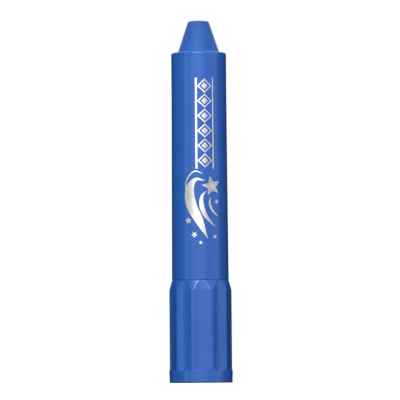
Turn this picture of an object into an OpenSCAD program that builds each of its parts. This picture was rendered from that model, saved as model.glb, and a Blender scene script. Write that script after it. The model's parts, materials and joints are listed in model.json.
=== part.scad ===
// A twist-up crayon stick. Turning the fluted knob turns a two-start screw, and the screw
// raises or lowers the wax crayon inside the barrel. Millimetres, +Z up, with the origin at
// the centre of the foot. Heights called _z are measured from the foot.

/* [Overall] */
// Height from the foot to the crayon's tip
total_h = 104; // [103.6:0.1:105]
// Height of the barrel's mouth
mouth_z = 94.6; // [94.4:0.1:95.2]

/* [Crayon] */
// Diameter of the wax stick
wax_d = 12.16; // [11.6:0.02:12.2]
// Diameter of the blunt tip
tip_d = 5.95; // [5:0.05:8]
// Radius of the tip's edge
tip_round = 0.5; // [0.2:0.1:1]
// Diameter of the tail that the cup holds
tail_d = 10.36; // [9.6:0.02:10.38]

/* [Barrel] */
// Outer diameter at the mouth, along the band that a cap slides over
mouth_d = 15.76; // [15.6:0.02:16.2]
// Outer diameter at the seam with the knob
seam_d = 16.24; // [16.2:0.02:16.8]
// Length of the straight band below the mouth's rounded edge
cap_band = 12.4; // [8:0.2:16]
// Radius of the mouth's outer edge
mouth_round = 0.5; // [0.2:0.1:0.8]
// Diameter of the bore that the crayon slides in
wax_bore_d = 12.5; // [12.4:0.1:12.6]

/* [Knob] */
// Height of the knob's upper edge
knob_top_z = 29.3; // [29:0.05:30]
// Diameter across the ridges
ridge_d = 17.84; // [17.6:0.02:17.84]
// Diameter at the upper edge
knob_top_d = 16.24; // [16.1:0.02:17]
// Height of the bevel below the upper edge
knob_bevel_h = 2.85; // [2:0.05:4]
// Number of flutes
flute_count = 10; // [8:1:10]
// Radius of each flute's arc
flute_r = 11; // [9:0.5:15]
// Distance from the axis to a flute's bottom
flute_floor = 8.35; // [8.3:0.01:8.45]
// How far a flute's bottom is drawn in over the height of the bevel
flute_draw = 0.255; // [0.1:0.005:0.35]
// Turn of the front flute from straight ahead, in degrees
knob_phase = 3.1; // [-18:0.1:18]

/* [Foot] */
// Height of the foot ring
foot_h = 3.7; // [3:0.1:4.5]
// Diameter of the foot ring
foot_d = 18.18; // [18.18:0.02:18.8]

/* [Screw] */
// Travel of the crayon for one turn of the knob
lead = 6; // [5:0.5:7]
// Diameter over the screw's threads
screw_d = 6; // [5.6:0.1:6]
// Depth of the thread
thread_depth = 0.8; // [0.6:0.1:0.9]
// Distance that the crayon rises from rest
extend = 24; // [18:0.5:24]
// Distance that the crayon sinks from rest
retract = 10.2; // [8:0.2:10.2]

/* [Hidden] */
$fn = 72;
eps = 0.01; // overshoot of a cut past the face that it opens
lap = 0.1; // how far joined shapes reach into each other

// Running and sliding gaps, each on the radius
turn_gap = 0.08;
slide_gap = 0.12;
thread_gap = 0.15;
hex_gap = 0.05;
cup_gap = 0.02;

// Gaps along the axis
end_gap = 0.1;
web_gap = 0.2; // above and below the knob's web

// Heights up the stick
seam_h = 0.1;
barrel_z = knob_top_z + seam_h;
foot_bead_z = foot_h + 2;
web_z = 7.2;
web_h = 2;
floor_z = web_z + web_h + web_gap;
floor_h = 2;
thrust_z = floor_z + floor_h + end_gap;
thrust_h = 1.1;
thread_z = thrust_z + thrust_h;
nut_z = thread_z + retract + 2 * end_gap;
nut_h = 5.1;
flange_h = 0.8;
collar_h = 4;
collar_z = nut_z + flange_h + extend + 2 * end_gap;
sleeve_top_z = collar_z + collar_h;
sleeve_bead_z = sleeve_top_z - 6;
screw_over = 0.3;
screw_top_z = sleeve_top_z + screw_over;
cup_clear = 0.5;
cup_z = screw_top_z + retract + cup_clear;
cup_floor = 1.2;
cup_depth = 6;
tail_z = cup_z + cup_floor;
rim_z = tail_z + cup_depth;

// Radii, from the axis outwards
screw_r = screw_d / 2;
core_r = screw_r - thread_depth;
journal_r = 2.22;
hex_r = 2.1;
thrust_r = 3.8;
stem_bore_gap = 0.35;
stem_bore_r = screw_r + stem_bore_gap;
stem_r = 4.3;
rib_r = 5;
rib_w = 1.2;
rib_count = 4;
flange_r = 5.2;
sleeve_bore_r = flange_r + thread_gap;
sleeve_r = 7;
cup_inset = 0.05;
cup_r = wax_d / 2 - cup_inset;
cup_bore_r = tail_d / 2 + cup_gap;
knob_bore_r = sleeve_r + turn_gap;
spigot_r = 7.3;
spigot_bore_r = 6.2;
hollow_r = 6.4; // the shallow hollow under the foot
foot_r = foot_d / 2;

// Edges and snap beads
mouth_chamfer = 0.3;
foot_round = 0.4;
step_round = 0.2;
hollow_h = 0.5;
bead_out = 0.2; // how far a snap bead stands out
bead_root = 0.3; // how deep its root is sunk

// The spindle's split tail, which snaps through the knob's web
barb_drop = 1.5; // from the web down to the tail's end
barb_cone_h = 1.2;
barb_lip_h = 0.25;
barb_tip_r = 1.6;
barb_r = 2.45;
slit_w = 0.7;
slit_h = 2.4;

// The rubber ring and its groove
ring_z = 24.7;
ring_wire_r = 0.54;
ring_gap = 0.04;
groove_r = 5.95;
groove_h = 1.3;

// Takes the outer edge off a profile at (x, y), leaving a round of radius r
module edge_round(x, y, r, below = false) {
    translate([x - r, y])
        mirror([0, below ? 1 : 0])
            translate([0, -r])
                difference() {
                    square(r + eps);
                    circle(r);
                }
}

// A ring between two radii, from height z upwards
module ring(z, h, outer, inner) {
    translate([0, 0, z])
        difference() {
            cylinder(h = h, r = outer);
            translate([0, 0, -eps])
                cylinder(h = h + 2 * eps, r = inner);
        }
}

// A snap bead on a cylinder of radius r: a low ridge with sloping sides
module bead(z, r) {
    rotate_extrude()
        polygon([
            [r - bead_root, z - bead_out],
            [r, z - bead_out],
            [r + bead_out, z],
            [r, z + bead_out],
            [r - bead_root, z + bead_out]
        ]);
}

// One cross-section of the two-start thread, grown outwards by grow
module thread_section(grow) {
    crest = 27; // half of the crest's arc, in degrees
    root = 27;
    outer = screw_r + grow;
    inner = core_r + grow;
    start = [
        for (a = [-crest, 0, crest]) [outer, a],
        for (a = [90 - root, 90, 90 + root]) [inner, a]
    ];
    polygon([
        for (turn = [0, 180], p = start)
            [p[0] * cos(p[1] + turn), p[0] * sin(p[1] + turn)]
    ]);
}

// The left-hand screw form between two heights. Every stretch is cut from one endless helix,
// so the screw and its nut stay in step. The low $fn only keeps the section's edges whole.
module thread_form(z, h, grow = 0) {
    slice_angle = 20;
    turned = 360 * h / lead;
    translate([0, 0, z])
        rotate(-360 * z / lead)
            linear_extrude(
                height = h,
                twist = turned,
                slices = ceil(turned / slice_angle),
                $fn = 12
            )
                thread_section(grow);
}

// The ribbed section of the pusher's stem, or of the keyhole that guides it
module stem_section(gap) {
    circle(stem_r + gap);
    for (i = [0 : rib_count - 1])
        rotate(i * 360 / rib_count)
            translate([0, -rib_w / 2 - gap])
                square([rib_r + gap, rib_w + 2 * gap]);
}

// The wax stick: a narrow tail, a full-width body and a blunt cone with a rounded edge
module crayon() {
    wax_r = wax_d / 2;
    tip_r = tip_d / 2;
    slope = (wax_r - tip_r) / (total_h - mouth_z); // outwards for each millimetre down the cone
    steep = sqrt(1 + slope * slope);
    round_x = tip_r + (slope - steep) * tip_round; // the round touches the cone and the flat tip
    round_z = total_h - tip_round;
    color([0.22, 0.40, 0.76])
        rotate_extrude() {
            polygon([
                [0, tail_z],
                [tail_d / 2, tail_z],
                [tail_d / 2, rim_z],
                [wax_r, rim_z],
                [wax_r, mouth_z],
                [round_x + tip_round / steep, round_z + tip_round * slope / steep],
                [round_x, total_h],
                [0, total_h]
            ]);
            translate([round_x, round_z])
                circle(tip_round);
        }
}

// The outer tube, with a wide bore below for the sleeve and a narrow one above for the crayon
module barrel() {
    mouth_r = mouth_d / 2;
    seam_r = seam_d / 2;
    color([0.20, 0.38, 0.73])
        difference() {
            rotate_extrude()
                difference() {
                    polygon([
                        [0, barrel_z],
                        [seam_r, barrel_z],
                        [mouth_r, mouth_z - mouth_round - cap_band],
                        [mouth_r, mouth_z],
                        [0, mouth_z]
                    ]);
                    edge_round(mouth_r, mouth_z, mouth_round);
                }
            translate([0, 0, barrel_z - eps])
                cylinder(h = sleeve_top_z - barrel_z + eps, r = sleeve_r);
            translate([0, 0, barrel_z])
                cylinder(h = mouth_z - barrel_z + eps, r = wax_bore_d / 2);
            translate([0, 0, mouth_z - mouth_chamfer])
                cylinder(
                    h = mouth_chamfer + eps,
                    r1 = wax_bore_d / 2,
                    r2 = wax_bore_d / 2 + mouth_chamfer + eps
                );
            bead(sleeve_bead_z, sleeve_r);
        }
}

// The fluted grip. A web near its foot has a hexagonal socket that drives the screw.
module knob() {
    top_r = knob_top_d / 2;
    ridge_r = ridge_d / 2;
    bevel_z = knob_top_z - knob_bevel_h;
    flute_lean = atan(flute_draw / knob_bevel_h);
    flute_over = 1;
    color([0.19, 0.37, 0.72])
        difference() {
            rotate_extrude()
                polygon([
                    [0, foot_h],
                    [ridge_r, foot_h],
                    [ridge_r, bevel_z],
                    [top_r, knob_top_z],
                    [0, knob_top_z]
                ]);
            for (i = [0 : flute_count - 1])
                rotate(knob_phase - 90 + i * 360 / flute_count) {
                    translate([flute_floor + flute_r, 0, foot_h - eps])
                        cylinder(h = knob_top_z, r = flute_r);
                    translate([flute_floor, 0, bevel_z])
                        rotate([0, -flute_lean, 0])
                            translate([flute_r, 0, -flute_over])
                                cylinder(h = knob_bevel_h + 2 * flute_over, r = flute_r);
                }
            translate([0, 0, web_z + web_h])
                cylinder(h = knob_top_z, r = knob_bore_r);
            translate([0, 0, web_z - eps])
                cylinder(h = web_h + 2 * eps, r = hex_r + hex_gap, $fn = 6);
            translate([0, 0, foot_h - eps])
                cylinder(h = web_z - foot_h + eps, r = spigot_r);
            bead(foot_bead_z, spigot_r);
        }
}

// The foot: a plain ring with a shallow hollow below and a spigot that snaps into the knob
module end_cap() {
    color([0.20, 0.38, 0.73])
        difference() {
            union() {
                rotate_extrude()
                    difference() {
                        square([foot_r, foot_h]);
                        edge_round(foot_r, 0, foot_round, below = true);
                        edge_round(foot_r, foot_h, step_round);
                    }
                ring(foot_h - lap, web_z - web_gap - foot_h + lap, spigot_r, spigot_bore_r);
                bead(foot_bead_z, spigot_r);
            }
            translate([0, 0, -eps])
                cylinder(h = hollow_h + eps, r = hollow_r);
        }
}

// The fixed inner tube: a neck that the knob turns on, a floor that holds the screw down, and
// a keyed collar that keeps the pusher from turning
module guide_sleeve() {
    color([0.90, 0.90, 0.87])
        difference() {
            union() {
                translate([0, 0, floor_z])
                    cylinder(h = sleeve_top_z - floor_z, r = sleeve_r);
                bead(sleeve_bead_z, sleeve_r);
            }
            translate([0, 0, floor_z - eps])
                cylinder(h = floor_h + 2 * eps, r = journal_r + turn_gap);
            translate([0, 0, floor_z + floor_h])
                cylinder(h = collar_z - floor_z - floor_h, r = sleeve_bore_r);
            translate([0, 0, collar_z - eps])
                linear_extrude(height = collar_h + 2 * eps)
                    stem_section(slide_gap);
            ring(ring_z - groove_h / 2, groove_h, sleeve_r + eps, groove_r);
        }
}

// The rubber ring that drags on the knob's bore
module friction_ring() {
    color([0.07, 0.07, 0.08])
        translate([0, 0, ring_z])
            rotate_extrude()
                translate([knob_bore_r - ring_gap - ring_wire_r, 0])
                    circle(ring_wire_r);
}

// The screw, with its thrust collar, its journal and a split hexagonal tail with a barb
module spindle() {
    barb_z = web_z - barb_drop;
    color([0.93, 0.93, 0.90])
        difference() {
            union() {
                thread_form(thread_z - lap, screw_top_z - thread_z + lap);
                translate([0, 0, thrust_z])
                    cylinder(h = thrust_h, r = thrust_r);
                translate([0, 0, web_z + web_h])
                    cylinder(h = thrust_z + lap - web_z - web_h, r = journal_r);
                translate([0, 0, web_z - lap])
                    cylinder(h = web_h + 2 * lap, r = hex_r, $fn = 6);
                translate([0, 0, barb_z])
                    cylinder(h = barb_cone_h, r1 = barb_tip_r, r2 = barb_r);
                translate([0, 0, barb_z + barb_cone_h])
                    cylinder(h = barb_lip_h, r = barb_r);
            }
            translate([-slit_w / 2, -barb_r - eps, barb_z - eps])
                cube([slit_w, 2 * barb_r + 2 * eps, slit_h + eps]);
        }
}

// The carrier: a nut with a stop flange, a ribbed stem around the screw, and a cup for the crayon
module pusher() {
    color([0.90, 0.90, 0.87])
        difference() {
            union() {
                translate([0, 0, nut_z])
                    linear_extrude(height = cup_z - nut_z + eps)
                        stem_section(0);
                translate([0, 0, nut_z])
                    cylinder(h = flange_h, r = flange_r);
                translate([0, 0, cup_z])
                    cylinder(h = rim_z - cup_z, r = cup_r);
            }
            translate([0, 0, tail_z])
                cylinder(h = cup_depth + eps, r = cup_bore_r);
            translate([0, 0, nut_z + nut_h])
                cylinder(h = cup_z - nut_z - nut_h, r = stem_bore_r);
            thread_form(nut_z - lap, nut_h + 2 * lap, thread_gap);
        }
}

crayon();
barrel();
knob();
end_cap();
guide_sleeve();
friction_ring();
spindle();
pusher();
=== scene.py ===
"""The looks of a twist-up crayon stick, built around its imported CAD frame.

Lengths inside the shape functions are millimetres, angles are degrees, and a mesh is scaled to
metres when it is made. Angles go round +Z, and the front of the stick faces -Y.
"""

import json
import math

import bpy
import numpy as np
from mathutils import Matrix, Vector, noise


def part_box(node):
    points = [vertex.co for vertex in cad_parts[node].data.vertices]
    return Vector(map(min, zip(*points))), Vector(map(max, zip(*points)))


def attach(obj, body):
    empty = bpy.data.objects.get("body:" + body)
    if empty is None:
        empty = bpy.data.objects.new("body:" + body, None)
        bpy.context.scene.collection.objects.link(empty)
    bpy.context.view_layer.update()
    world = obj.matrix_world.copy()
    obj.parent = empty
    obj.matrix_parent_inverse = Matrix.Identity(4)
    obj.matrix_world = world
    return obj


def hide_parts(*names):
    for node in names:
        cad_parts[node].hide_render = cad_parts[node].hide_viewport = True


MM = 0.001
FRONT = -90.0  # the angle of -Y

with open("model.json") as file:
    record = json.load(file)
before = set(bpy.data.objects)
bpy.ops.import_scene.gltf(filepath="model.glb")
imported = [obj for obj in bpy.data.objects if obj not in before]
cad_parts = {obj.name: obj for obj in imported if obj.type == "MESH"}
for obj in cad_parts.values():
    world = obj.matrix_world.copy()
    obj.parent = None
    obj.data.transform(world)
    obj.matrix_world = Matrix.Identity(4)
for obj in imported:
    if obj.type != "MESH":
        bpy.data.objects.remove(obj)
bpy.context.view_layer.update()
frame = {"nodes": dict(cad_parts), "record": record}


# ---------------------------------------------------------------- measures from the frame

def radius_of(node):
    """The largest distance of a CAD node from the axis."""
    return max(math.hypot(v.co.x, v.co.y) for v in frame["nodes"][node].data.vertices) / MM


def radius_at(node, z):
    """The largest distance from the axis among a CAD node's points at height z."""
    points = [v.co / MM for v in frame["nodes"][node].data.vertices]
    return max(math.hypot(p.x, p.y) for p in points if abs(p.z - z) < 0.01)


def span(node):
    """The lowest and highest points of a CAD node."""
    low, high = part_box(node)
    return low.z / MM, high.z / MM


def mount(name):
    """The record's mount of that name."""
    return next(m for m in frame["record"]["mounts"] if m["name"] == name)


BARREL_Z, MOUTH_Z = span("barrel")
SEAM_R = radius_of("barrel")
MOUTH_R = mount("cap_seat")["dims"]["r_mm"]
BAND_Z = mount("cap_seat")["pos_m"][2] / MM - mount("cap_seat")["dims"]["length_mm"]
SLEEVE_TOP = span("guide_sleeve")[1]
KNOB_Z, KNOB_TOP = span("knob")
RIDGE_R = radius_of("knob")
BEVEL_TOP_R = radius_at("knob", KNOB_TOP)
FOOT_R = radius_of("end_cap")
FOOT_Z, SPIGOT_TOP = span("end_cap")
TAIL_Z, TIP_Z = span("crayon")
WAX_R = radius_of("crayon")
CUP_Z = span("pusher")[1]

WAX_BORE = WAX_R + 0.17
TAIL_R = 5.18  # of the crayon's end in its cup
SLEEVE_R = 7.0
KNOB_BORE = SLEEVE_R + 0.08
SPIGOT_R = 7.3  # where the foot ring plugs into the knob
SPIGOT_BEAD_R = 7.5  # the snap bead round it
SPIGOT_BEAD_Z = KNOB_Z + 2.0
BEAD_HALF = 0.2  # half of a snap bead's height, and its depth


# ---------------------------------------------------------------- mesh building

def rounded(corners, step=12.0, support=0.09):
    """A profile of (r, z) points from corners of (r, z, rounding). Each rounding becomes an arc
    with a point every step degrees, and each long straight run gets a point near its ends, which
    keeps smooth shading flat between the arcs."""
    points = []
    count = len(corners)
    for i, (r, z, rounding) in enumerate(corners):
        here = np.array([r, z])
        before = np.array(corners[i - 1][:2]) - here
        after = np.array(corners[(i + 1) % count][:2]) - here
        a, b = np.linalg.norm(before), np.linalg.norm(after)
        if rounding <= 0 or a < 1e-6 or b < 1e-6:
            points.append(here)
            continue
        u, v = before / a, after / b
        half = math.acos(np.clip(u @ v, -1, 1)) / 2
        back = rounding / math.tan(half)
        centre = here + (u + v) / np.linalg.norm(u + v) * rounding / math.sin(half)
        start, end = here + u * back - centre, here + v * back - centre
        turn = math.pi - 2 * half
        arcs = max(2, math.ceil(math.degrees(turn) / step))
        sign = 1 if start[0] * end[1] - start[1] * end[0] > 0 else -1
        for k in range(arcs + 1):
            t = sign * turn * k / arcs
            c, s = math.cos(t), math.sin(t)
            points.append(centre + np.array([start[0] * c - start[1] * s, start[0] * s + start[1] * c]))
    full = []
    for i, p in enumerate(points):
        q = points[(i + 1) % len(points)]
        full.append(p)
        length = np.linalg.norm(q - p)
        if length > 4 * support:
            full.append(p + (q - p) * support / length)
            full.append(q - (q - p) * support / length)
    return full


def mesh_object(name, vertices, faces, sharp=38.0):
    """A smooth-shaded object from vertices in millimetres."""
    mesh = bpy.data.meshes.new(name)
    mesh.from_pydata((np.asarray(vertices, float) * MM).tolist(), [], faces)
    mesh.validate()
    mesh.shade_smooth()
    mesh.set_sharp_from_angle(angle=math.radians(sharp))
    obj = bpy.data.objects.new(name, mesh)
    bpy.context.scene.collection.objects.link(obj)
    return obj


def lathe(name, rows, segments=256, closed=False, warp=None):
    """A solid of revolution. A row is (r, z), where r is a number or a function of the angle in
    degrees, and rows run so that the surface faces outwards. A closed chain joins its last row to
    its first; an open one ends in a point at each end. warp moves a point (x, y, z)."""
    angles = np.arange(segments) * 360.0 / segments
    ca, sa = np.cos(np.radians(angles)), np.sin(np.radians(angles))
    vertices, faces = [], []
    for r, z in rows:
        reach = np.array([r(a) for a in angles]) if callable(r) else np.full(segments, float(r))
        height = np.full(segments, float(z))
        vertices += np.stack([reach * ca, reach * sa, height], axis=1).tolist()
    count = len(rows)
    for i in range(count if closed else count - 1):
        low, high = i * segments, (i + 1) % count * segments
        for k in range(segments):
            n = (k + 1) % segments
            faces.append((low + k, low + n, high + n, high + k))
    if not closed:
        for row, first in ((0, True), (count - 1, False)):
            middle = np.mean(vertices[row * segments:(row + 1) * segments], axis=0)
            vertices.append([0.0, 0.0, middle[2]])
            pole = len(vertices) - 1
            for k in range(segments):
                a, b = row * segments + k, row * segments + (k + 1) % segments
                faces.append((b, a, pole) if first else (a, b, pole))
    if warp is not None:
        vertices = [warp(Vector(v)) for v in vertices]
    return mesh_object(name, vertices, faces)


def smooth_min(a, b, width):
    """The smaller of two numbers, blended where they are within width of each other."""
    h = max(width - abs(a - b), 0.0) / width
    return min(a, b) - h * h * width / 4


def steps(start, end, size):
    """Evenly spaced numbers from start to end, no more than size apart."""
    return np.linspace(start, end, max(2, math.ceil(abs(end - start) / size) + 1)).tolist()


# ---------------------------------------------------------------- the wax crayon

CONE_SLOPE = 0.3303  # the cone's growth in radius for each millimetre down
TIP_R = WAX_R - CONE_SLOPE * (TIP_Z - MOUTH_Z)
TIP_CROWN = 0.26  # how far the blunt end is domed


def wax_warp(p):
    """Hand-poured unevenness, a scratch by the tip and a scraped flat beside the mouth."""
    reach = math.hypot(p.x, p.y)
    if reach < 1e-6:
        return p
    out = Vector((p.x / reach, p.y / reach, 0.0))
    worn = min(1.0, max(0.0, (p.z - MOUTH_Z + 1.5) / 3.0))
    move = 0.030 * worn * noise.noise(p * 0.35 + Vector((3.1, 0.0, 8.0)))
    move += 0.012 * worn * noise.noise(p * 1.3 + Vector((0.0, 5.2, 1.0)))
    if p.y < 0:
        move -= 0.20 * groove(p, (-1.15, TIP_Z - 0.7), (-0.15, TIP_Z - 2.8), 0.15)
    angle = math.degrees(math.atan2(p.y, p.x)) - FRONT
    across = (angle - 56.0) / 7.0
    along = (p.z - (MOUTH_Z + 1.5)) / 1.35
    move -= 0.16 * math.exp(-(across ** 2) - along ** 4)
    return p + out * move


def groove(p, start, end, width):
    """1 on the line from start to end, both (x, z), falling to 0 about a width away."""
    ax, az = start
    bx, bz = end
    dx, dz = bx - ax, bz - az
    t = ((p.x - ax) * dx + (p.z - az) * dz) / (dx * dx + dz * dz)
    t = min(1.0, max(0.0, t))
    gap = math.hypot(p.x - ax - t * dx, p.z - az - t * dz)
    return math.exp(-((gap / width) ** 2)) * math.sin(math.pi * min(1.0, max(0.0, 0.12 + 0.8 * t)))


def make_crayon():
    low = rounded([
        (0.4, TAIL_Z, 0), (TAIL_R, TAIL_Z, 0.3), (TAIL_R, CUP_Z, 0), (WAX_R, CUP_Z, 0.15),
        (WAX_R, MOUTH_Z - 2.0, 0),
    ])
    rows = [p for p in low if p[1] < MOUTH_Z - 1.9][:-2]
    rows += [(WAX_R, z) for z in steps(MOUTH_Z - 2.0, MOUTH_Z - 0.3, 0.3)]
    tip = rounded([
        (WAX_R, MOUTH_Z - 0.3, 0), (WAX_R, MOUTH_Z, 0.3), (TIP_R, TIP_Z - TIP_CROWN, 0.62),
        (0.0, TIP_Z - TIP_CROWN, 0),
    ], step=8.0, support=0.0001)[:-1]
    for a, b in zip(tip, tip[1:]):
        length = math.hypot(b[0] - a[0], b[1] - a[1])
        for t in steps(0.0, 1.0, 0.13 / max(length, 1e-6))[:-1]:
            rows.append((a[0] + (b[0] - a[0]) * t, a[1] + (b[1] - a[1]) * t))
    domed = []
    for r, z in rows:
        if r > 0.05:
            on_top = r < TIP_R and z > TIP_Z - 1.2
            domed.append((r, z + (TIP_CROWN * (1 - (r / TIP_R) ** 2) if on_top else 0.0)))
    obj = lathe("wax_stick", domed, segments=384, warp=wax_warp)
    top = max(v.co.z for v in obj.data.vertices)
    for v in obj.data.vertices:
        if v.co.z > (TIP_Z - 1.0) * MM:
            v.co.z += (TIP_Z * MM - top) * min(1.0, (v.co.z / MM - TIP_Z + 1.0))
    return obj


# ---------------------------------------------------------------- the plastic shells

def barrel_radius(z):
    """The barrel's outer radius at height z: a drafted tube with a straight band at its mouth."""
    if z >= BAND_Z:
        return MOUTH_R
    return SEAM_R + (MOUTH_R - SEAM_R) * (z - BARREL_Z) / (BAND_Z - BARREL_Z)


SEAM_SKEW = 0.075  # how much lower the barrel's tail is on the right


def make_barrel():
    bead_z = SLEEVE_TOP - 6
    profile = [
        (SEAM_R, BARREL_Z, 0.06), (MOUTH_R, BAND_Z, 0), (MOUTH_R, MOUTH_Z, 0.5),
        (WAX_BORE, MOUTH_Z, 0.28), (WAX_BORE, SLEEVE_TOP, 0), (SLEEVE_R, SLEEVE_TOP, 0),
        (SLEEVE_R, bead_z + BEAD_HALF, 0), (SLEEVE_R + BEAD_HALF, bead_z, 0),
        (SLEEVE_R, bead_z - BEAD_HALF, 0),
        (SLEEVE_R, BARREL_Z, 0.2),
    ]

    def sink(p):
        """The tail is cut a little out of square, so the seam closes towards the right."""
        if p.z < BARREL_Z + 1.0 and math.hypot(p.x, p.y) > SLEEVE_R + 0.3:
            p.z -= SEAM_SKEW * (0.5 + 0.5 * p.x / SEAM_R) * (BARREL_Z + 1.0 - p.z)
        return p

    return lathe("barrel_shell", rounded(profile), segments=288, closed=True, warp=sink)


FLUTES = 10
FLUTE_R = 11.0  # radius of a flute's arc
FLUTE_FLOOR = 8.35  # from the axis to a flute's bottom
FLUTE_DRAW = 0.255  # how far that bottom is drawn in over the bevel's height
KNOB_PHASE = 3.1  # how far the front flute is turned from straight ahead
BEVEL_H = 2.85  # height of the bevel under the knob's rim


def fluted(reach, floor, blend):
    """A function of the angle: a round of radius reach with the flutes cut into it."""
    pitch = 360.0 / FLUTES
    centre = floor + FLUTE_R

    def radius(angle):
        off = math.radians((angle - FRONT - KNOB_PHASE + pitch / 2) % pitch - pitch / 2)
        inside = FLUTE_R ** 2 - (centre * math.sin(off)) ** 2
        if inside <= 0:
            return reach
        return smooth_min(reach, centre * math.cos(off) - math.sqrt(inside), blend)

    return radius


def hexagon(reach):
    """A function of the angle: a hexagon with corners at reach."""
    inner = reach * math.cos(math.radians(30))
    return lambda angle: inner / math.cos(math.radians((angle % 60) - 30))


def make_knob():
    bevel_z = KNOB_TOP - BEVEL_H
    slope = (RIDGE_R - BEVEL_TOP_R) / BEVEL_H
    edge = 0.3  # rounding of the upper rim

    def outline(z, inset=0.0):
        """The fluted section at height z, which the bevel narrows."""
        reach = smooth_min(RIDGE_R, BEVEL_TOP_R + slope * (KNOB_TOP - z), 0.06)
        up = max(0.0, z - bevel_z) / BEVEL_H
        blend = 0.12 - 0.07 * up
        return fluted(reach - inset, FLUTE_FLOOR - FLUTE_DRAW * up - inset, blend)

    web_z, web_top = KNOB_Z + 3.5, KNOB_Z + 5.5
    rows = [(outline(KNOB_Z, 0.08), KNOB_Z), (outline(KNOB_Z), KNOB_Z + 0.08)]
    rows += [(outline(z), z) for z in steps(KNOB_Z + 0.2, bevel_z - 0.6, 3.0)]
    rows += [(outline(z), z) for z in steps(bevel_z - 0.4, KNOB_TOP - edge, 0.06)]
    for a in (15, 30, 45, 60, 75, 90):
        lift, draw = math.sin(math.radians(a)), 1 - math.cos(math.radians(a))
        rows.append((outline(KNOB_TOP - edge, edge * draw), KNOB_TOP - edge + edge * lift))
    rows += [(KNOB_BORE + 0.25, KNOB_TOP), (KNOB_BORE + 0.08, KNOB_TOP - 0.05)]
    rows += [(KNOB_BORE, KNOB_TOP - 0.2)]
    rows += [(KNOB_BORE, z) for z in (KNOB_TOP - 0.4, web_top + 0.1, web_top)]
    rows += [(hexagon(2.6), web_top), (hexagon(2.15), web_top - 0.3), (hexagon(2.15), web_z)]
    rows += [(SPIGOT_R, web_z), (SPIGOT_R, web_z - 0.1), (SPIGOT_R, SPIGOT_BEAD_Z + BEAD_HALF)]
    rows += [(SPIGOT_BEAD_R, SPIGOT_BEAD_Z), (SPIGOT_R, SPIGOT_BEAD_Z - BEAD_HALF)]
    rows += [(SPIGOT_R, KNOB_Z + 0.1), (SPIGOT_R, KNOB_Z)]
    return lathe("knob_grip", rows, segments=900, closed=True)


def make_end_cap():
    hollow_r, hollow_z = 6.2, FOOT_Z + 0.5
    profile = rounded([
        (0.3, hollow_z, 0), (hollow_r, hollow_z, 0.15), (hollow_r + 0.25, FOOT_Z, 0.12),
        (FOOT_R, FOOT_Z, 0.4), (FOOT_R, KNOB_Z, 0.16), (SPIGOT_R, KNOB_Z, 0),
        (SPIGOT_R, SPIGOT_BEAD_Z - BEAD_HALF, 0), (SPIGOT_BEAD_R, SPIGOT_BEAD_Z, 0),
        (SPIGOT_R, SPIGOT_BEAD_Z + BEAD_HALF, 0), (SPIGOT_R, SPIGOT_TOP, 0.3),
        (hollow_r, SPIGOT_TOP, 0.1), (hollow_r, KNOB_Z, 0.1), (0.3, KNOB_Z, 0),
    ])
    return lathe("foot_ring", profile[:-2], segments=288)


# ---------------------------------------------------------------- the foil ornament

FOIL_LIFT = 0.022  # how far the stamped foil stands off the barrel
FOIL_SINK = 0.004  # how far above the plastic its underside lies
FOIL_STEP = 0.35  # longest run between points


def on_barrel(u, z, lift):
    """The point on the barrel at u millimetres to the right of the front line and height z."""
    angle = math.radians(FRONT) + u / MOUTH_R
    reach = barrel_radius(z) + lift
    return (reach * math.cos(angle), reach * math.sin(angle), z)


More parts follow.
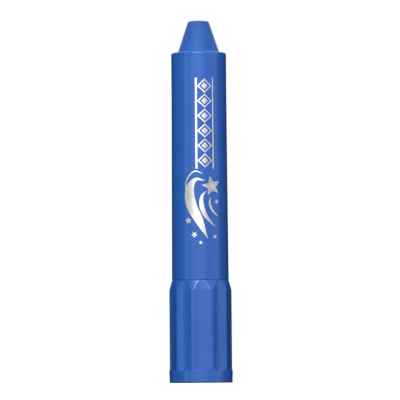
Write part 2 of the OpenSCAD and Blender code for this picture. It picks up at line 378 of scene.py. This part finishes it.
class Foil:
    """Strips of foil that become one mesh of thin closed solids."""

    def __init__(self):
        self.vertices = []
        self.faces = []

    def sheet(self, grid, closed=False):
        """A thin solid over a grid of (u, z) points: rows run along it, columns across it."""
        rows, columns = len(grid), len(grid[0])
        base = len(self.vertices)
        for lift in (FOIL_LIFT, FOIL_SINK):
            for row in grid:
                self.vertices += [on_barrel(u, z, lift) for u, z in row]
        under = rows * columns
        (u0, z0), (u1, z1), (u2, z2) = grid[0][0], grid[0][-1], grid[1][0]
        flip = (u1 - u0) * (z2 - z0) - (z1 - z0) * (u2 - u0) > 0

        def add(*quad):
            self.faces.append(tuple(base + i for i in (quad if flip else quad[::-1])))

        last = rows if closed else rows - 1
        for i in range(last):
            n = (i + 1) % rows
            for k in range(columns - 1):
                a, b = i * columns + k, n * columns + k
                add(a, a + 1, b + 1, b)
                add(under + a, under + b, under + b + 1, under + a + 1)
            for k, turn in ((0, False), (columns - 1, True)):
                a, b = i * columns + k, n * columns + k
                side = (a, b, under + b, under + a)
                add(*(side[::-1] if turn else side))
        if not closed:
            for i, turn in ((0, True), (rows - 1, False)):
                for k in range(columns - 1):
                    a = i * columns + k
                    side = (a, a + 1, under + a + 1, under + a)
                    add(*(side[::-1] if turn else side))

    def outline(self, corners, width):
        """A closed band inside a polygon's outline."""
        outer, inner = [], []
        count = len(corners)
        area = sum(
            corners[i][0] * corners[(i + 1) % count][1] - corners[(i + 1) % count][0] * corners[i][1]
            for i in range(count)
        )
        side = 1 if area > 0 else -1
        shifted = []
        for i in range(count):
            p = np.array(corners[i])
            a = p - np.array(corners[i - 1])
            b = np.array(corners[(i + 1) % count]) - p
            na = np.array([-a[1], a[0]]) / np.linalg.norm(a) * side
            nb = np.array([-b[1], b[0]]) / np.linalg.norm(b) * side
            mid = (na + nb) / np.linalg.norm(na + nb)
            shifted.append(p + mid * width / (mid @ na))
        for i in range(count):
            p, q = np.array(corners[i]), np.array(corners[(i + 1) % count])
            r, s = shifted[i], shifted[(i + 1) % count]
            for t in steps(0, 1, FOIL_STEP / np.linalg.norm(q - p))[:-1]:
                outer.append(p + (q - p) * t)
                inner.append(r + (s - r) * t)
        self.sheet([(tuple(a), tuple(b)) for a, b in zip(outer, inner)], closed=True)

    def fill(self, corners):
        """A filled polygon that can be seen whole from its centre."""
        middle = np.mean(corners, axis=0)
        ring = []
        count = len(corners)
        for i in range(count):
            p, q = np.array(corners[i]), np.array(corners[(i + 1) % count])
            ring += [p + (q - p) * t for t in steps(0, 1, FOIL_STEP / np.linalg.norm(q - p))[:-1]]
        layers = (1.0, 0.66, 0.33, 0.02)
        self.sheet([[tuple(middle + (p - middle) * t) for t in layers] for p in ring], closed=True)

    def stroke(self, path, widths, columns=5):
        """A brush stroke along a smooth path through points, with a width at each of them."""
        line = curve(path)
        width = curve([(w, 0.0) for w in widths])
        grid = []
        for i, p in enumerate(line):
            a, b = line[max(i - 1, 0)], line[min(i + 1, len(line) - 1)]
            along = (b - a) / np.linalg.norm(b - a)
            across = np.array([-along[1], along[0]])
            half = max(width[i][0], 0.03) / 2
            grid.append([tuple(p + across * half * t) for t in np.linspace(-1, 1, columns)])
        self.sheet(grid)

    def make(self, name):
        return mesh_object(name, self.vertices, self.faces, sharp=50.0)


def curve(points, per=10):
    """A smooth line through points, with per steps between each pair."""
    p = [np.array(q, float) for q in points]
    p = [2 * p[0] - p[1]] + p + [2 * p[-1] - p[-2]]
    line = []
    for i in range(1, len(p) - 2):
        for k in range(per + (i == len(p) - 3)):
            t = k / per
            line.append(0.5 * (
                2 * p[i] + (p[i + 1] - p[i - 1]) * t
                + (2 * p[i - 1] - 5 * p[i] + 4 * p[i + 1] - p[i + 2]) * t ** 2
                + (3 * p[i] - p[i - 1] - 3 * p[i + 1] + p[i + 2]) * t ** 3
            ))
    return line


STAR_POINTS = 5
STAR_WAIST = 0.45  # radius of a star's inner corners, as a share of its reach


def star(u, z, reach, turn):
    """The corners of a star."""
    corners = []
    for i in range(2 * STAR_POINTS):
        r = reach if i % 2 == 0 else reach * STAR_WAIST
        a = math.radians(turn + 90 + i * 180 / STAR_POINTS)
        corners.append((u + r * math.cos(a), z + r * math.sin(a)))
    return corners


def lozenge(u, z, half_u, half_z):
    """The corners of a diamond."""
    return [(u + half_u, z), (u, z + half_z), (u - half_u, z), (u, z - half_z)]


def make_foil():
    """A generic party ornament: a rail of diamonds above, and a shooting star below."""
    rail = Foil()
    low, high, middle = 61.2, 86.8, 1.6
    count = 6
    pitch = (high - low) / count
    for i in range(count):
        z = low + pitch * (i + 0.5)
        rail.outline(lozenge(middle, z, 2.15, pitch * 0.48), 0.36)
        rail.fill(lozenge(middle, z, 0.95, pitch * 0.23))
    rail.stroke([(-0.85, low - 0.2), (-0.85, (low + high) / 2), (-0.85, high + 0.2)], [0.55] * 3, 3)
    rail.stroke([(4.05, low - 0.2), (4.05, (low + high) / 2), (4.05, high + 0.2)], [0.34] * 3, 3)
    comet = Foil()
    comet.outline(star(3.5, 56.0, 2.9, turn=12), 0.34)
    comet.fill(star(3.5, 56.0, 1.75, turn=12))
    comet.stroke(
        [(1.4, 57.6), (-1.2, 57.9), (-2.9, 55.0), (-2.4, 50.6), (-0.2, 46.2), (2.2, 41.0)],
        [0.1, 1.0, 2.6, 3.0, 2.2, 0.1],
    )
    comet.stroke(
        [(1.9, 54.6), (0.6, 53.0), (0.6, 50.2), (1.9, 47.2), (4.3, 44.6)],
        [0.1, 0.8, 1.3, 1.0, 0.1],
    )
    comet.stroke([(3.0, 52.9), (2.9, 50.8), (3.9, 48.8), (5.6, 47.4)], [0.1, 0.7, 0.6, 0.1])
    comet.stroke([(0.9, 59.6), (-1.6, 60.2), (-3.9, 57.4), (-4.2, 53.0)], [0.1, 0.4, 0.4, 0.1])
    for u, z, reach, turn in ((-3.3, 46.2, 1.05, 8), (-1.6, 42.2, 0.95, 30), (0.2, 39.9, 0.6, 0)):
        comet.fill(star(u, z, reach, turn))
    for u, z, reach, turn in ((5.1, 51.6, 0.8, 20), (4.4, 41.6, 0.7, 10)):
        comet.fill(star(u, z, reach, turn))
    return [rail.make("foil_diamonds"), comet.make("foil_shooting_star")]


# ---------------------------------------------------------------- materials

class Look:
    """A node material under construction."""

    def __init__(self, name, colour, **sockets):
        self.material = bpy.data.materials.new(name)
        self.material.use_nodes = True
        self.tree = self.material.node_tree
        self.shader = self.tree.nodes["Principled BSDF"]
        self.colour = colour
        self.shader.inputs["Base Color"].default_value = (*colour, 1.0)
        for key, value in sockets.items():
            self.shader.inputs[key.replace("_", " ")].default_value = value
        self.place = self.tree.nodes.new("ShaderNodeTexCoord").outputs["Object"]

    def link(self, a, b):
        self.tree.links.new(a, b)

    def noise(self, scale, detail, stretch=None):
        """Noise with features of about 1 / scale metres, drawn out by stretch along x, y, z."""
        node = self.tree.nodes.new("ShaderNodeTexNoise")
        node.inputs["Scale"].default_value = scale
        node.inputs["Detail"].default_value = detail
        node.inputs["Roughness"].default_value = 0.55
        place = self.place
        if stretch:
            mapping = self.tree.nodes.new("ShaderNodeMapping")
            mapping.inputs["Scale"].default_value = stretch
            self.link(self.place, mapping.inputs["Vector"])
            place = mapping.outputs["Vector"]
        self.link(place, node.inputs["Vector"])
        return node.outputs["Fac"]

    def ramp(self, fac, low, high, bottom=0.35, top=0.65):
        """Numbers from low to high as fac goes from bottom to top."""
        node = self.tree.nodes.new("ShaderNodeMapRange")
        node.inputs["From Min"].default_value = bottom
        node.inputs["From Max"].default_value = top
        node.inputs["To Min"].default_value = low
        node.inputs["To Max"].default_value = high
        self.link(fac, node.inputs["Value"])
        return node.outputs["Result"]

    def roughness(self, fac, low, high):
        self.link(self.ramp(fac, low, high), self.shader.inputs["Roughness"])

    def shade(self, fac, amount):
        """Base colour that varies by amount either way."""
        node = self.tree.nodes.new("ShaderNodeMix")
        node.data_type = "RGBA"
        dark = tuple(c * (1 - amount) for c in self.colour)
        light = tuple(min(1.0, c * (1 + amount)) for c in self.colour)
        node.inputs["A"].default_value = (*dark, 1.0)
        node.inputs["B"].default_value = (*light, 1.0)
        self.link(self.ramp(fac, 0.0, 1.0), node.inputs["Factor"])
        self.link(node.outputs["Result"], self.shader.inputs["Base Color"])

    def bump(self, *heights):
        """Relief from (height socket, depth in metres) pairs."""
        normal = None
        for fac, depth in heights:
            node = self.tree.nodes.new("ShaderNodeBump")
            node.inputs["Strength"].default_value = 1.0
            node.inputs["Distance"].default_value = depth
            self.link(fac, node.inputs["Height"])
            if normal is not None:
                self.link(normal, node.inputs["Normal"])
            normal = node.outputs["Normal"]
        self.link(normal, self.shader.inputs["Normal"])


BLUE = (0.033, 0.152, 0.600)
WAX_BLUE = (0.030, 0.132, 0.510)
SILVER = (0.93, 0.92, 0.90)


def moulded_plastic(name, colour, rough):
    look = Look(name, colour, IOR=1.5)
    look.shade(look.noise(220, detail=2), 0.03)
    look.roughness(look.noise(900, detail=4), rough - 0.03, rough + 0.05)
    look.bump(
        (look.noise(420, detail=2), 0.000010),
        (look.noise(5200, detail=2), 0.0000012),
    )
    return look.material


def wax(name, colour):
    look = Look(
        name, colour, IOR=1.40, Subsurface_Weight=0.15, Subsurface_Scale=0.001,
        Sheen_Weight=1.0, Sheen_Roughness=0.30,
    )
    look.shader.inputs["Subsurface Radius"].default_value = (0.3, 0.5, 1.0)
    look.shade(look.noise(500, detail=4), 0.06)
    look.roughness(look.noise(1300, detail=4), 0.48, 0.62)
    look.bump(
        (look.noise(600, detail=3, stretch=(1.0, 1.0, 0.35)), 0.00005),
        (look.noise(4200, detail=3), 0.000008),
    )
    return look.material


def foil(name, colour):
    look = Look(name, colour, Metallic=1.0)
    look.roughness(look.noise(1800, detail=4), 0.30, 0.42)
    look.shade(look.noise(700, detail=3), 0.05)
    look.bump((look.noise(2600, detail=2), 0.000004))
    return look.material


def natural_plastic(name, colour):
    look = Look(name, colour, IOR=1.5, Subsurface_Weight=0.08, Subsurface_Scale=0.001)
    look.shade(look.noise(300, detail=2), 0.04)
    look.roughness(look.noise(800, detail=3), 0.36, 0.5)
    look.bump((look.noise(3000, detail=2), 0.000003))
    return look.material


def rubber(name, colour):
    look = Look(name, colour, IOR=1.5)
    look.shade(look.noise(900, detail=3), 0.2)
    look.roughness(look.noise(1500, detail=3), 0.6, 0.8)
    look.bump((look.noise(4000, detail=3), 0.00001))
    return look.material


# ---------------------------------------------------------------- the studio

STUDIO_REACH = 0.9  # how far the softboxes stand from the stick

# Softboxes: name, the azimuths and elevations between which the stick sees them, their radiance,
# which is what a mirror would show, and their tint. Azimuth 0 is in front and 90 to the right.
SOFTBOXES = [
    ("key", (-21, 10), (16, 31), 8.2, (1.0, 1.0, 1.0)),
    ("edge", (-30, 2), (34, 48), 5.6, (1.0, 1.0, 1.0)),
    ("top_front", (-20, 14), (50, 70), 2.5, (1.0, 1.0, 1.0)),
    ("top_left", (-80, -20), (38, 66), 0.5, (0.5, 1.1, 1.0)),
    ("low_front", (-36, 22), (-9, 18), 0.90, (1.0, 1.0, 1.0)),
    ("low_left", (-50, -36), (-9, 18), 0.40, (1.0, 1.0, 1.0)),
    ("strip_left", (-62, -50), (-9, 18), 1.0, (1.0, 1.0, 1.0)),
    ("low_right", (22, 50), (-9, 18), 0.43, (1.0, 1.0, 1.0)),
    ("strip_right", (50, 84), (-9, 18), 0.80, (1.0, 0.95, 1.0)),
    ("side_right", (30, 108), (19, 37), 0.70, (1.0, 0.92, 1.0)),
    ("back", (150, 210), (45, 75), 3.0, (1.0, 1.0, 1.0)),
]


def softbox(name, azimuths, elevations, radiance, tint):
    """An area light that faces the middle of the stick."""
    azimuth, elevation = math.radians(sum(azimuths) / 2), math.radians(sum(elevations) / 2)
    data = bpy.data.lights.new(name, "AREA")
    data.shape = "RECTANGLE"
    data.size = 2 * STUDIO_REACH * math.tan(math.radians(azimuths[1] - azimuths[0]) / 2)
    data.size_y = 2 * STUDIO_REACH * math.tan(math.radians(elevations[1] - elevations[0]) / 2)
    data.energy = radiance * math.pi * data.size * data.size_y
    data.color = tint
    obj = bpy.data.objects.new(name, data)
    middle = Vector((0, 0, (TIP_Z + FOOT_Z) / 2 * MM))
    way = Vector((
        math.sin(azimuth) * math.cos(elevation), -math.cos(azimuth) * math.cos(elevation),
        math.sin(elevation),
    ))
    obj.location = middle + way * STUDIO_REACH
    obj.rotation_euler = way.to_track_quat("Z", "Y").to_euler()
    obj.visible_camera = False
    bpy.context.scene.collection.objects.link(obj)


def make_lights():
    for box in SOFTBOXES:
        softbox(*box)


def make_world():
    """White behind the stick, and a dim room in its reflections."""
    world = bpy.data.worlds.new("studio")
    world.use_nodes = True
    nodes, links = world.node_tree.nodes, world.node_tree.links
    room = nodes["Background"]
    room.inputs["Color"].default_value = (1, 1, 1, 1)
    room.inputs["Strength"].default_value = 0.02
    white = nodes.new("ShaderNodeBackground")
    white.inputs["Color"].default_value = (1, 1, 1, 1)
    white.inputs["Strength"].default_value = 1.0
    mix = nodes.new("ShaderNodeMixShader")
    path = nodes.new("ShaderNodeLightPath")
    links.new(path.outputs["Is Camera Ray"], mix.inputs["Fac"])
    links.new(room.outputs["Background"], mix.inputs[1])
    links.new(white.outputs["Background"], mix.inputs[2])
    links.new(mix.outputs["Shader"], nodes["World Output"].inputs["Surface"])
    bpy.context.scene.world = world


def make_floor():
    """A pale round floor that glows more the further it lies from the stick, so that no horizon
    shows. It throws no light and no shadow on the stick, and reflections leave it out."""
    reach = 1.6
    ring = [(reach * math.cos(a), reach * math.sin(a), 0.0) for a in np.radians(np.arange(0, 360, 3))]
    mesh = bpy.data.meshes.new("floor")
    mesh.from_pydata(ring, [], [tuple(range(len(ring)))])
    floor = bpy.data.objects.new("floor", mesh)
    bpy.context.scene.collection.objects.link(floor)
    look = Look("pale_floor", (0.86, 0.86, 0.86), Roughness=0.9)
    look.shader.inputs["Emission Color"].default_value = (1, 1, 1, 1)
    away = look.tree.nodes.new("ShaderNodeVectorMath")
    away.operation = "LENGTH"
    look.link(look.place, away.inputs[0])
    glow = look.ramp(away.outputs["Value"], 0.45, 1.1, bottom=0.02, top=0.25)
    look.link(glow, look.shader.inputs["Emission Strength"])
    look.shader.inputs["Specular IOR Level"].default_value = 0.0
    mesh.materials.append(look.material)
    floor.visible_diffuse = False
    floor.visible_glossy = False
    floor.visible_shadow = False


def make_camera():
    """A long lens low on the table, level with the foot and aimed at the stick's middle."""
    distance, height, roll = 1.05, 0.004, 0.45
    view_width = 0.11467
    data = bpy.data.cameras.new("camera")
    data.sensor_width = 36.0
    data.lens = data.sensor_width * distance / view_width
    data.clip_start, data.clip_end = 0.01, 20.0
    camera = bpy.data.objects.new("camera", data)
    target = Vector((0.00008, 0, 0.0524))
    camera.location = (0, -distance, height)
    aim = (target - camera.location).to_track_quat("-Z", "Y").to_matrix().to_4x4()
    camera.matrix_world = (
        Matrix.Translation(camera.location) @ aim @ Matrix.Rotation(math.radians(-roll), 4, "Z")
    )
    bpy.context.scene.collection.objects.link(camera)
    bpy.context.scene.camera = camera


# ---------------------------------------------------------------- assembly

def dress(piece, body, slot, material, *nodes):
    """Gives a new piece its body, its material and the CAD nodes it stands for. The slot argument is
    not used.
    """
    piece.data.materials.clear()
    piece.data.materials.append(material)
    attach(piece, body)
    if nodes:
        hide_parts(*nodes)


def dress_node(node, material):
    """Gives a CAD node that stays a better material."""
    obj = frame["nodes"][node]
    for s in obj.material_slots:
        s.material = material


make_camera()
make_world()
make_lights()
make_floor()

shell = moulded_plastic("barrel_blue", BLUE, 0.20)
grip = moulded_plastic("knob_blue", BLUE, 0.20)
dress(make_crayon(), "carriage", "wax", wax("blue_wax", WAX_BLUE), "crayon")
dress(make_barrel(), "barrel", "barrel_plastic", shell, "barrel")
dress(make_knob(), "knob", "knob_plastic", grip, "knob")
dress(make_end_cap(), "knob", "knob_plastic", grip, "end_cap")
silver = foil("stamped_foil", SILVER)
for piece in make_foil():
    dress(piece, "barrel", "foil", silver)
white = natural_plastic("natural_plastic", (0.80, 0.80, 0.76))
dress_node("guide_sleeve", white)
dress_node("pusher", white)
dress_node("spindle", natural_plastic("screw_plastic", (0.85, 0.85, 0.82)))
dress_node("friction_ring", rubber("black_rubber", (0.012, 0.012, 0.014)))

bpy.context.scene.view_settings.view_transform = "Standard"
